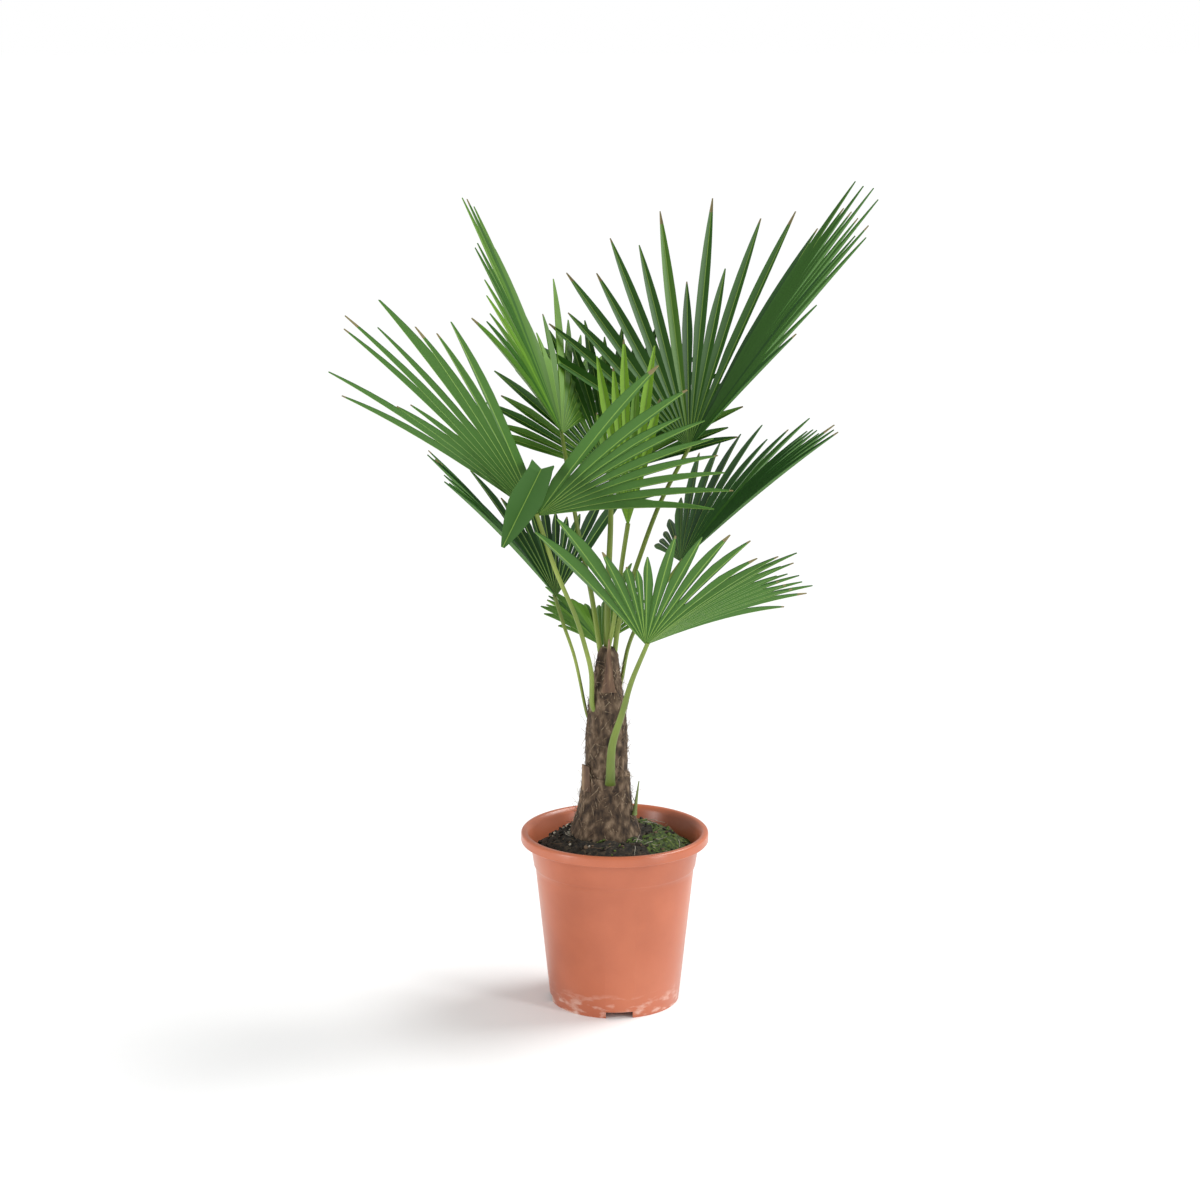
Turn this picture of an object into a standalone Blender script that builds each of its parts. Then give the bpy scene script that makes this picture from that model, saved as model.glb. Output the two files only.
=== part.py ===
"""Windmill palm in a round nursery pot: pot, compost, trunk, leaf stalks and pleated fan fronds.

Sizes are in metres and angles in degrees. The pot stands on z = 0 and the front of the plant is -Y.
"""
import math

import bmesh
import bpy
from mathutils import Matrix, Vector, noise
from mathutils.bvhtree import BVHTree

GAP = 0.0003                # air between pieces that rest on each other

# Pot: a thin tapering wall, a collar, a turned-over lip and a foot ring with four notches
POT_SIDES = 48
POT_WALL = 0.0018
POT_FOOT_RADIUS = 0.0728
POT_STEP_RADIUS = 0.0885
POT_STEP_HIGH = 0.150
COLLAR_LOW_RADIUS = 0.0907
COLLAR_LOW_HIGH = 0.158
COLLAR_TOP_RADIUS = 0.0962
LIP_RADIUS = 0.105
LIP_LOW_HIGH = 0.1857
LIP_TOP_HIGH = 0.197
FLOOR_LOW = 0.009
FLOOR_TOP = 0.011
PAD_RADIUS = 0.022
NOTCH_WIDE = 0.030
NOTCH_HIGH = 0.0075
NOTCH_TURN = 4.0
DRAIN_RADIUS = 0.005
DRAIN_RING = 0.046
DRAINS = 6

# Compost: level under the trunk, falling to the wall
SOIL_EDGE_HIGH = 0.173
SOIL_LEVEL_HIGH = 0.1945
SOIL_LEVEL_RADIUS = 0.052
SOIL_LUMP = 0.0022

# Trunk: leaning slightly, with a root flare and a ledge of old leaf bases
TRUNK_SIDES = 20
TRUNK_FOOT = (-0.0105, 0.0)
TRUNK_HEAD = (-0.0082, 0.0)
TRUNK_TOP = 0.400
LEDGE_HIGH = 0.262
TRUNK_RADII = ((0.0, 0.0400), (0.009, 0.0375), (0.022, 0.0330), (0.036, 0.0298), (0.052, 0.0280),
               (0.0660, 0.0275), (0.0674, 0.0268), (0.0675, 0.0245), (0.090, 0.0240), (0.112, 0.0234),
               (0.146, 0.0211), (0.160, 0.0188), (0.175, 0.0161), (0.190, 0.0136), (0.2052, 0.0112))
BARK_LUMP = 0.0007

# Fronds
THICK = 0.003               # leaf blade
HALF_WIDE = 0.0065          # widest half of an ordinary leaflet
PLEAT = 0.45                # how far a fold stands up, as a share of the half width
FIRST_RING = 0.008          # radius of the ring nearest the hub
WEB_RINGS = (0.17, 0.34)    # rings where neighbouring leaflets still join, as shares of the reach
WIDEST_STEP = 13.0          # a wider gap between bearings is filled with one more leaflet


def leaflet(bearing, reach, half_wide=HALF_WIDE, bend=None):
    """One leaflet: bearing from the fan's axis, length, width and an optional (radius, direction) bend."""
    return {"bearing": bearing, "reach": reach, "half_wide": half_wide, "bend": bend}


def leaflets(*pairs):
    """Ordinary leaflets from (bearing, reach) pairs."""
    return [leaflet(bearing, reach) for bearing, reach in pairs]


# Every frond: hub, heading and lift of its axis, roll and fold of its blade, droop, stalk and leaflets
FRONDS = {
    "front_left": {
        "hub": (-0.084, -0.050, 0.564), "heading": 254, "lift": 46, "roll": 8, "fold": 18, "droop": 0.20,
        "stalk": ((-0.0255, -0.0152, 0.348), (-0.026, -0.0165, 0.380), (-0.032, -0.020, 0.409),
                  (-0.044, -0.028, 0.450), (-0.066, -0.040, 0.506)),
        "stalk_wide": (0.0036, 0.0026),
        "leaflets": leaflets((-86, 0.195), (-78, 0.225), (-70, 0.230), (-63, 0.240), (-57, 0.255),
                             (-51, 0.270), (2, 0.355), (36, 0.320), (41, 0.305), (48, 0.190),
                             (56, 0.200), (64, 0.290), (71, 0.270))
        + [leaflet(-42, 0.300, 0.008), leaflet(-34, 0.320, 0.008), leaflet(20, 0.345, 0.011),
           leaflet(-15, 0.180, 0.016, (0.088, (-0.40, -0.12, -0.80)))]},
    "upper_right": {
        "hub": (0.081, 0.020, 0.627), "heading": 52, "lift": 42, "roll": 8, "fold": 29, "droop": 0.05,
        "stalk": ((0.0000, 0.0005, 0.4035), (0.006, 0.001, 0.441), (0.026, 0.006, 0.504),
                  (0.050, 0.012, 0.568)),
        "stalk_wide": (0.0031, 0.0025),
        "leaflets": leaflets((-75, 0.260), (-67, 0.245), (-55, 0.295), (-43, 0.320), (-32, 0.345),
                             (-27, 0.235), (-22, 0.360), (-17, 0.255), (-12, 0.335), (-6, 0.355),
                             (5, 0.400), (14, 0.370), (24, 0.355), (35, 0.340), (44, 0.315),
                             (50, 0.310), (58, 0.230), (64, 0.200))},
    "low_right": {
        "hub": (0.033, -0.060, 0.424), "heading": -47, "lift": 38, "roll": 18, "fold": 22, "droop": 0.21,
        "stalk": ((-0.0050, -0.0286, 0.2652), (-0.003, -0.034, 0.304), (0.008, -0.042, 0.343),
                  (0.018, -0.051, 0.381)),
        "stalk_wide": (0.0072, 0.0030),
        "leaflets": leaflets((-77, 0.195), (-70, 0.215), (-64, 0.215), (-55, 0.195), (-45, 0.190),
                             (-35, 0.180), (-24, 0.200), (-14, 0.225), (-5, 0.225), (2, 0.220),
                             (7, 0.240), (12, 0.235), (18, 0.215), (25, 0.205), (33, 0.160))
        + [leaflet(42, 0.140, 0.008), leaflet(57, 0.232, 0.009), leaflet(65, 0.222, 0.009)]},
    "upper_left": {
        "hub": (-0.058, 0.040, 0.639), "heading": 122, "lift": 56, "roll": -36, "fold": 10, "droop": 0.20,
        "stalk": ((-0.0165, 0.0015, 0.4035), (-0.025, 0.012, 0.458), (-0.031, 0.018, 0.487),
                  (-0.043, 0.028, 0.545), (-0.055, 0.037, 0.617)),
        "stalk_wide": (0.0032, 0.0028),
        "leaflets": leaflets((-71, 0.255), (-63, 0.205), (-33, 0.235), (-22, 0.290), (-17, 0.290),
                             (-12, 0.285), (-5, 0.240), (8, 0.140), (23, 0.255), (36, 0.200),
                             (47, 0.215), (60, 0.160))},
    "mid_right": {
        "hub": (0.073, 0.030, 0.497), "heading": 35, "lift": 40, "roll": 15, "fold": 10, "droop": 0.18,
        "stalk": ((0.0083, 0.0096, 0.372), (0.015, 0.013, 0.405), (0.028, 0.018, 0.434),
                  (0.052, 0.025, 0.468)),
        "stalk_wide": (0.0029, 0.0024),
        "leaflets": leaflets((-73, 0.085), (-56, 0.120), (-48, 0.155), (-42, 0.245), (-35, 0.245),
                             (-28, 0.245), (-21, 0.250), (-8, 0.230), (-3, 0.250), (32, 0.240),
                             (37, 0.240), (43, 0.250))},
    "low_left": {
        "hub": (-0.065, 0.010, 0.462), "heading": 133, "lift": 35, "roll": -13, "fold": 28, "droop": 0.17,
        "stalk": ((-0.0322, 0.001, 0.335), (-0.044, 0.005, 0.392), (-0.057, 0.009, 0.431)),
        "stalk_wide": (0.0018, 0.0017),
        "leaflets": leaflets((-78, 0.275), (-60, 0.250), (-25, 0.225), (7, 0.220), (16, 0.150),
                             (28, 0.160), (45, 0.145), (51, 0.195), (57, 0.230))},
    "new_centre": {
        "hub": (0.014, -0.010, 0.544), "heading": 80, "lift": 80, "roll": 0, "fold": 10, "droop": 0.05,
        "stalk": ((-0.0075, -0.0058, 0.4035), (-0.001, -0.008, 0.440), (0.008, -0.009, 0.507)),
        "stalk_wide": (0.0020, 0.0016),
        "leaflets": leaflets((-17, 0.130), (-12, 0.190), (-7, 0.175), (-3, 0.205), (2, 0.165),
                             (7, 0.200), (13, 0.145))},
    "small_back": {
        "hub": (-0.015, 0.040, 0.399), "heading": 105, "lift": 30, "roll": 0, "fold": 35, "droop": 0.28,
        "stalk": ((-0.013, 0.0212, 0.353), (-0.015, 0.030, 0.379)),
        "stalk_wide": (0.0020, 0.0018),
        "leaflets": leaflets((-83, 0.065), (-76, 0.085), (-69, 0.090), (-40, 0.100), (0, 0.085),
                             (18, 0.075), (32, 0.130), (60, 0.080), (76, 0.045))},
    "back": {
        "hub": (-0.004, 0.055, 0.590), "heading": 84, "lift": 52, "roll": 0, "fold": 12, "droop": 0.15,
        "stalk": ((-0.0085, 0.0065, 0.4035), (-0.008, 0.014, 0.463), (-0.005, 0.030, 0.533)),
        "stalk_wide": (0.0055, 0.0028),
        "leaflets": leaflets((-72, 0.150), (-60, 0.170), (-48, 0.190), (-36, 0.200), (-24, 0.205),
                             (-12, 0.210), (0, 0.205), (12, 0.210), (24, 0.200), (36, 0.200),
                             (48, 0.190), (60, 0.170), (72, 0.150))},
}


def clear_scene():
    for thing in list(bpy.data.objects):
        bpy.data.objects.remove(thing, do_unlink=True)


def material(name, colour, roughness):
    made = bpy.data.materials.new(name)
    made.use_nodes = True
    shader = made.node_tree.nodes["Principled BSDF"]
    shader.inputs["Base Color"].default_value = (*colour, 1.0)
    shader.inputs["Roughness"].default_value = roughness
    shader.inputs["Metallic"].default_value = 0.0
    return made


def finish(name, bm, look):
    """Turn a mesh into a smooth-shaded object with one material."""
    bmesh.ops.recalc_face_normals(bm, faces=bm.faces)
    mesh = bpy.data.meshes.new(name)
    bm.to_mesh(mesh)
    bm.free()
    mesh.materials.append(look)
    mesh.shade_smooth()
    mesh.set_sharp_from_angle(angle=math.radians(40))
    made = bpy.data.objects.new(name, mesh)
    bpy.context.collection.objects.link(made)
    return made


def turned(profile, sides):
    """Closed solid turned about Z from (radius, height) points that start and end on the axis."""
    bm = bmesh.new()
    points = [bm.verts.new((radius, 0.0, height)) for radius, height in profile]
    edges = [bm.edges.new(pair) for pair in zip(points, points[1:])]
    bmesh.ops.spin(bm, geom=points + edges, cent=(0, 0, 0), axis=(0, 0, 1), dvec=(0, 0, 0),
                   angle=math.tau, steps=sides, use_merge=True)
    bmesh.ops.remove_doubles(bm, verts=bm.verts, dist=1e-6)
    return bm


def make_pot(look):
    inner_step = POT_STEP_RADIUS - POT_WALL
    profile = [
        (0.0, 0.0), (PAD_RADIUS, 0.0), (PAD_RADIUS + 0.0015, FLOOR_LOW),
        (POT_FOOT_RADIUS - 0.0035, FLOOR_LOW), (POT_FOOT_RADIUS - 0.0032, 0.0),
        (POT_FOOT_RADIUS - 0.0006, 0.0), (POT_FOOT_RADIUS, 0.0008),
        (POT_STEP_RADIUS, POT_STEP_HIGH), (POT_STEP_RADIUS + 0.0004, COLLAR_LOW_HIGH - 0.003),
        (COLLAR_LOW_RADIUS - 0.0006, COLLAR_LOW_HIGH - 0.0014), (COLLAR_LOW_RADIUS, COLLAR_LOW_HIGH),
        (COLLAR_TOP_RADIUS, LIP_TOP_HIGH - 0.0035), (LIP_RADIUS - POT_WALL, LIP_TOP_HIGH - 0.0035),
        (LIP_RADIUS - POT_WALL, LIP_LOW_HIGH + 0.0004), (LIP_RADIUS - 0.0006, LIP_LOW_HIGH),
        (LIP_RADIUS, LIP_LOW_HIGH + 0.0008), (LIP_RADIUS, LIP_TOP_HIGH - 0.0030),
        (LIP_RADIUS - 0.0008, LIP_TOP_HIGH - 0.0009), (LIP_RADIUS - 0.0026, LIP_TOP_HIGH),
        (COLLAR_TOP_RADIUS + 0.0034, LIP_TOP_HIGH), (COLLAR_TOP_RADIUS + 0.0020, LIP_TOP_HIGH - 0.0008),
        (COLLAR_TOP_RADIUS - POT_WALL, LIP_TOP_HIGH - 0.0060),
        (COLLAR_LOW_RADIUS - POT_WALL, COLLAR_LOW_HIGH), (inner_step, POT_STEP_HIGH),
        (POT_FOOT_RADIUS - POT_WALL + 0.0009, FLOOR_TOP), (0.0, FLOOR_TOP)]
    pot = finish("pot", turned(profile, POT_SIDES), look)

    cuts = bmesh.new()
    for index in range(4):
        turn = Matrix.Rotation(math.radians(-90 + NOTCH_TURN + 90 * index), 4, "Z")
        size = Matrix.Diagonal((0.020, NOTCH_WIDE, 2 * NOTCH_HIGH, 1))
        bmesh.ops.create_cube(cuts, size=1.0, matrix=turn @ Matrix.Translation((0.0728, 0, 0)) @ size)
    for index in range(DRAINS):
        turn = Matrix.Rotation(math.tau * index / DRAINS, 4, "Z")
        bmesh.ops.create_cone(cuts, cap_ends=True, segments=12, radius1=DRAIN_RADIUS, radius2=DRAIN_RADIUS,
                              depth=0.02, matrix=turn @ Matrix.Translation((DRAIN_RING, 0, FLOOR_LOW)))
    cutter = finish("pot_cuts", cuts, look)
    cutter.hide_render = True
    cutter.display_type = "WIRE"
    cut = pot.modifiers.new("notches and drains", "BOOLEAN")
    cut.operation = "DIFFERENCE"
    cut.object = cutter
    return pot


def make_soil(look):
    """Compost that follows the pot's inner wall, with a lumpy top that is level under the trunk."""
    inset = POT_WALL + 2 * GAP
    top_rings = 5
    profile = [(0.0, FLOOR_TOP + GAP), (POT_FOOT_RADIUS - inset, FLOOR_TOP + GAP),
               (POT_STEP_RADIUS - inset, POT_STEP_HIGH), (COLLAR_LOW_RADIUS - inset, COLLAR_LOW_HIGH)]
    share = (SOIL_EDGE_HIGH - COLLAR_LOW_HIGH) / (LIP_TOP_HIGH - 0.006 - COLLAR_LOW_HIGH)
    edge = COLLAR_LOW_RADIUS + share * (COLLAR_TOP_RADIUS - COLLAR_LOW_RADIUS) - inset
    for index in range(top_rings + 1):
        along = index / top_rings
        radius = edge + along * (SOIL_LEVEL_RADIUS - edge)
        rise = math.sin(along * math.pi / 2) ** 1.4
        profile.append((radius, SOIL_EDGE_HIGH + rise * (SOIL_LEVEL_HIGH - SOIL_EDGE_HIGH)))
    profile.append((0.0, SOIL_LEVEL_HIGH))
    bm = turned(profile, POT_SIDES)
    for vert in bm.verts:
        radius = math.hypot(vert.co.x, vert.co.y)
        if vert.co.z > SOIL_EDGE_HIGH - 0.001 and SOIL_LEVEL_RADIUS + 0.002 < radius < edge - 0.002:
            vert.co.z += SOIL_LUMP * noise.noise(vert.co * 60.0)
    return finish("soil", bm, look)


def ring_matrix(centre, along, wide, half_wide, half_thick):
    """Matrix that carries a unit circle in XY to a cross-section of a limb."""
    along = along.normalized()
    side = (wide - along * wide.dot(along)).normalized()
    up = along.cross(side)
    return Matrix.LocRotScale(centre, Matrix((side, up, along)).transposed().to_quaternion(),
                              Vector((half_wide, half_thick, 1.0)))


def limb(rings, sides):
    """Closed limb through a list of ring matrices, extruded ring by ring from the first."""
    bm = bmesh.new()
    bmesh.ops.create_circle(bm, cap_ends=True, segments=sides, radius=1.0, matrix=rings[0])
    face = bm.faces[:][0]
    for last, following in zip(rings, rings[1:]):
        grown = bmesh.ops.extrude_face_region(bm, geom=[face, *face.edges, *face.verts])["geom"]
        face = next(item for item in grown if isinstance(item, bmesh.types.BMFace))
        bmesh.ops.transform(bm, matrix=following @ last.inverted(), verts=face.verts)
    return bm


def smooth_path(points, steps):
    """Catmull-Rom curve through the points, with the given steps per stretch."""
    points = [Vector(point) for point in points]
    ends = [2 * points[0] - points[1]] + points + [2 * points[-1] - points[-2]]
    path = []
    for before, start, end, after in zip(ends, ends[1:], ends[2:], ends[3:]):
        for index in range(steps):
            t = index / steps
            path.append(0.5 * (2 * start + (end - before) * t
                               + (2 * before - 5 * start + 4 * end - after) * t ** 2
                               + (3 * start - before - 3 * end + after) * t ** 3))
    path.append(points[-1])
    return path


def make_trunk(look):
    foot = SOIL_LEVEL_HIGH + GAP
    rings = []
    for height, radius in TRUNK_RADII:
        share = height / TRUNK_RADII[-1][0]
        x = TRUNK_FOOT[0] + share * (TRUNK_HEAD[0] - TRUNK_FOOT[0])
        centre = Vector((x, 0.0, foot + height))
        rings.append(ring_matrix(centre, Vector((0, 0, 1)), Vector((1, 0, 0)), radius, radius))
    bm = limb(rings, TRUNK_SIDES)
    for vert in bm.verts:
        if foot + 0.005 < vert.co.z < LEDGE_HIGH - 0.004:
            outward = Vector((vert.co.x - TRUNK_FOOT[0], vert.co.y, 0)).normalized()
            vert.co += outward * BARK_LUMP * noise.noise(vert.co * 90.0)
    return finish("trunk", bm, look)


def make_stalk(name, path, wide_at, half_wides, half_thicks, sides, look, steps=2):
    """Leaf stalk along a smooth path, its width turning from the first direction to the last."""
    path = smooth_path(path, steps)
    rings = []
    for index, centre in enumerate(path):
        share = index / (len(path) - 1)
        ahead = path[min(index + 1, len(path) - 1)] - path[max(index - 1, 0)]
        wide = Vector(wide_at[0]).lerp(Vector(wide_at[1]), share)
        half_wide = half_wides[0] + share ** 0.6 * (half_wides[1] - half_wides[0])
        half_thick = half_thicks[0] + share ** 0.6 * (half_thicks[1] - half_thicks[0])
        rings.append(ring_matrix(centre, ahead, wide, half_wide, half_thick))
    return finish(name, limb(rings, sides), look)


def fan_frame(frond):
    """Axis, side and normal of a fan: the side is to the right of the axis seen from above."""
    heading, lift, roll = (math.radians(frond[key]) for key in ("heading", "lift", "roll"))
    axis = Vector((math.cos(lift) * math.cos(heading), math.cos(lift) * math.sin(heading), math.sin(lift)))
    level = Vector((math.sin(heading), -math.cos(heading), 0.0))
    normal = level.cross(axis)
    side = math.cos(roll) * level + math.sin(roll) * normal
    return axis, side, math.cos(roll) * normal - math.sin(roll) * level


def filled(schedule):
    """The schedule in order of bearing, with a shorter leaflet in each gap that is too wide."""
    schedule = sorted(schedule, key=lambda item: item["bearing"])
    whole = schedule[:1]
    for item in schedule[1:]:
        last = whole[-1]
        extra = int((item["bearing"] - last["bearing"]) / WIDEST_STEP)
        if item["bend"] or last["bend"]:
            extra = 0
        for index in range(extra):
            share = (index + 1) / (extra + 1)
            between = last["bearing"] + share * (item["bearing"] - last["bearing"])
            whole.append(leaflet(between, 0.88 * (last["reach"] + share * (item["reach"] - last["reach"]))))
        whole.append(item)
    return whole


class Fan:
    """The geometry of one fan: where a leaflet's rib and its two edges run."""

    def __init__(self, frond):
        self.hub = Vector(frond["hub"])
        self.axis, self.side, self.normal = fan_frame(frond)
        self.fold = math.radians(frond["fold"])
        self.droop = frond["droop"]
        self.items = filled(frond["leaflets"])
        longest = max(item["reach"] for item in self.items)
        self.rings = [FIRST_RING] + [share * longest for share in WEB_RINGS]

    def direction(self, bearing):
        angle = math.radians(bearing)
        flat = math.cos(angle) * self.axis + math.sin(angle) * math.cos(self.fold) * self.side
        return flat + abs(math.sin(angle)) * math.sin(self.fold) * self.normal

    def rib(self, item, radius):
        bend = item["bend"]
        straight = min(radius, bend[0]) if bend else radius
        way = self.direction(item["bearing"])
        drop = 0.5 * self.droop * math.hypot(way.x, way.y) * item["reach"]
        point = self.hub + straight * way - Vector((0, 0, drop * (straight / item["reach"]) ** 2.2))
        if bend and radius > bend[0]:
            point += (radius - bend[0]) * Vector(bend[1]).normalized()
        return point

    def frame(self, item, radius):
        """Normal and sideways direction of a leaflet at a radius."""
        small = 0.004
        ahead = (self.rib(item, radius + small) - self.rib(item, max(radius - small, 0))).normalized()
        lean = max(-1.0, min(1.0, item["bearing"] / 25.0)) * math.tan(self.fold)
        upright = self.normal - lean * self.side
        if item["bend"]:
            way = self.direction(item["bearing"])
            across = way.cross(upright).normalized()
            across = (across - ahead * across.dot(ahead)).normalized()
            return across.cross(ahead), across
        upright = (upright - ahead * upright.dot(ahead)).normalized()
        return upright, ahead.cross(upright)

    def stations(self, item):
        rings = self.rings[:2]
        if item["reach"] > 1.35 * self.rings[2]:
            rings = self.rings[:]
        if item["bend"]:
            rings = self.rings[:2] + [item["bend"][0]]
        last = rings[-1]
        rest = item["reach"] - last
        return [0.0] + rings + [last + 0.45 * rest, last + 0.8 * rest, item["reach"]]

    def split(self, first, second):
        """Number of rings that two neighbours share before they part."""
        step = second["bearing"] - first["bearing"]
        long_enough = min(first["reach"], second["reach"]) > 1.35 * self.rings[2]
        straight = not first["bend"] and not second["bend"]
        if step < 9 and long_enough and straight and int(first["bearing"]) % 3:
            return 3
        return 2 if step < 17 else 1

    def half_width(self, item, radius, step):
        share = radius / item["reach"]
        taper = 1.0 - 0.8 * max(0.0, (share - 0.45) / 0.55) ** 1.8
        return min(item["half_wide"] * taper, 0.8 * radius * math.sin(math.radians(step / 2)))

    def edge(self, index, side, row):
        """Place and normal of a leaflet's edge, or of the fold line that it shares with a neighbour."""
        item = self.items[index]
        radius = self.stations(item)[row]
        other = index + side
        inside = 0 <= other < len(self.items)
        step = abs(self.items[other]["bearing"] - item["bearing"]) if inside else 9.0
        upright, across = self.frame(item, radius)
        if inside:
            pair = (item, self.items[other]) if side > 0 else (self.items[other], item)
            if row <= self.split(*pair):
                first, second = pair
                middle = 0.5 * (self.rib(first, radius) + self.rib(second, radius))
                mean = (self.frame(first, radius)[0] + self.frame(second, radius)[0]).normalized()
                height = PLEAT * min(radius * math.sin(math.radians(step / 2)), HALF_WIDE)
                return middle + height * mean, mean
        half = self.half_width(item, radius, step)
        return self.rib(item, radius) + side * half * across + PLEAT * half * upright, upright

    def blade(self):
        """Closed blade: one narrow grid for each leaflet, welded along the folds and thickened."""
        bm = bmesh.new()
        grow = bm.verts.layers.float_vector.new("grow")
        owner = bm.verts.layers.int.new("owner")
        out = bm.verts.layers.float.new("out")
        for index, item in enumerate(self.items):
            rows = self.stations(item)
            grid = bmesh.ops.create_grid(bm, x_segments=2, y_segments=len(rows) - 1, size=1.0)["verts"]
            for vert in grid:
                column = round(vert.co.x)
                row = round((vert.co.y + 1) / 2 * (len(rows) - 1))
                if row == 0:
                    place, upright = self.hub.copy(), self.normal
                elif column == 0:
                    place, upright = self.rib(item, rows[row]), self.frame(item, rows[row])[0]
                else:
                    place, upright = self.edge(index, column, row)
                vert.co = place - 0.5 * THICK * upright
                vert[grow] = THICK * upright
                vert[owner] = index
                vert[out] = rows[row]
        bmesh.ops.remove_doubles(bm, verts=bm.verts, dist=1e-5)
        bmesh.ops.triangulate(bm, faces=bm.faces)
        grown = bmesh.ops.extrude_face_region(bm, geom=bm.faces[:])["geom"]
        for vert in (item for item in grown if isinstance(item, bmesh.types.BMVert)):
            vert.co += vert[grow]
        return bm, owner, out


def clear_blade(frond, taken):
    """Blade whose leaflets are shortened or left out where they would touch what stands already."""
    fan = Fan(frond)
    for _ in range(14):
        bm, owner, out = fan.blade()
        bm.faces.ensure_lookup_table()
        tree = BVHTree.FromBMesh(bm)
        hits = {}
        for other in taken:
            for face_index, _ in tree.overlap(other):
                vert = max(bm.faces[face_index].verts, key=lambda item: item[out])
                low = min(item[out] for item in bm.faces[face_index].verts)
                hits[vert[owner]] = min(hits.get(vert[owner], 1.0), low)
        if not hits:
            break
        bm.free()
        kept = []
        for index, item in enumerate(fan.items):
            if index in hits:
                item = dict(item, reach=min(0.9 * item["reach"], max(hits[index], 0.6 * item["reach"])))
            if item["reach"] > 1.3 * fan.rings[1]:
                kept.append(item)
        fan.items = kept
    return bm


def main():
    clear_scene()
    clay = material("clay plastic", (0.60, 0.20, 0.11), 0.45)
    compost = material("compost", (0.035, 0.028, 0.020), 0.95)
    bark = material("fibrous bark", (0.13, 0.085, 0.055), 0.95)
    dry = material("dry leaf base", (0.16, 0.08, 0.05), 0.85)
    stalk_green = material("stalk green", (0.22, 0.33, 0.07), 0.5)
    sprout_green = material("sprout green", (0.20, 0.32, 0.08), 0.5)
    leaf_green = material("leaf green", (0.06, 0.20, 0.035), 0.45)

    make_pot(clay)
    make_soil(compost)
    solids = [make_trunk(bark)]
    solids.append(make_stalk("cut_leaf_base", ((-0.0319, -0.0153, LEDGE_HIGH + 0.0006),
                                               (-0.0325, -0.0158, LEDGE_HIGH + 0.014)),
                             ((0.57, -0.82, 0), (0.57, -0.82, 0)), (0.008, 0.007), (0.0011, 0.0010),
                             8, dry))
    solids.append(make_stalk("top_sheath", ((-0.0070, -0.0190, 0.362), (-0.0068, -0.0155, 0.390),
                                            (-0.0066, -0.0128, 0.419)),
                             ((1, 0, 0), (1, 0, 0)), (0.0085, 0.0015), (0.0010, 0.0007), 8, dry))
    solids.append(make_stalk("side_sprout", ((0.0224, -0.0119, 0.2225), (0.0245, -0.0127, 0.240),
                                             (0.0268, -0.0130, 0.257)),
                             ((0.3, 0.95, 0), (0.3, 0.95, 0)), (0.0030, 0.0009), (0.0024, 0.0007),
                             8, sprout_green))
    for name, frond in FRONDS.items():
        axis, side, _ = fan_frame(frond)
        start = Vector(frond["stalk"][0])
        outward = Vector((start.x - TRUNK_HEAD[0], start.y, 0)).normalized()
        round_trunk = Vector((-outward.y, outward.x, 0))
        if round_trunk.dot(side) < 0:
            round_trunk = -round_trunk
        if start.z > TRUNK_TOP:
            round_trunk = Vector((1, 0, 0))
        end = Vector(frond["hub"]) - axis * (GAP + 0.5 * THICK)
        wide, thick = frond["stalk_wide"]
        solids.append(make_stalk("stalk_" + name, [*frond["stalk"], end], (round_trunk, side),
                                 (wide, 0.0027), (thick, 0.0020), 8, stalk_green))
    taken = []
    depsgraph = bpy.context.evaluated_depsgraph_get()
    for solid in solids:
        taken.append(BVHTree.FromObject(solid, depsgraph))
    for name, frond in FRONDS.items():
        bm = clear_blade(frond, taken)
        taken.append(BVHTree.FromBMesh(bm))
        finish("frond_" + name, bm, leaf_green)


main()
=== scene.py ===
# %% [markdown]
# # A potted windmill palm
# A young fan palm stands in a round nursery pot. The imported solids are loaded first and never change. Every
# visible piece below takes the place of some of them, at the same spot and within the same reach, with finer
# leaflets, fibrous bark and loose compost.

# %% Load the frame
import math
import random

import bmesh
import bpy
from mathutils import Matrix, Vector, noise


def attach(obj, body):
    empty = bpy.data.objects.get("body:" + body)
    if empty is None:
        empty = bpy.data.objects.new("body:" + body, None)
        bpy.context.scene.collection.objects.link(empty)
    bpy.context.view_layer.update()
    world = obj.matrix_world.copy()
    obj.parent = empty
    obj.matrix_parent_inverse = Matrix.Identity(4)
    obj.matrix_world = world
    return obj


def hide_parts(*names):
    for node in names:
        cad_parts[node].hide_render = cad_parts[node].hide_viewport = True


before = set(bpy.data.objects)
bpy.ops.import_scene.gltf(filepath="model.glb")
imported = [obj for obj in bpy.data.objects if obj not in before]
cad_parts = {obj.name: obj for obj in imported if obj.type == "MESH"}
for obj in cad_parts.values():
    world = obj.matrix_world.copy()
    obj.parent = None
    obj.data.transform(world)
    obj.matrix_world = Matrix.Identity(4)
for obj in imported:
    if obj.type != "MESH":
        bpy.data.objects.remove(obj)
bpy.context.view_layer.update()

# %% [markdown]
# ## Materials
# The green of a leaflet hardly varies along it, so leaves get plain colours that are dealt out leaf by leaf.
# Pot, bark and compost are mottled. A painted picture could show that, but noise over the object's own
# coordinates needs no picture, stays crisp close up and keeps to the piece when it moves.

# %% Plain and mottled materials
DARK_STOP, PALE_STOP = 0.32, 0.70       # where in the noise the first and the last colour stand


def plain(name, colour, roughness=0.5):
    """Material of one colour."""
    made = bpy.data.materials.new(name)
    made.use_nodes = True
    shader = made.node_tree.nodes["Principled BSDF"]
    shader.inputs["Base Color"].default_value = (*colour, 1.0)
    shader.inputs["Roughness"].default_value = roughness
    return made


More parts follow.
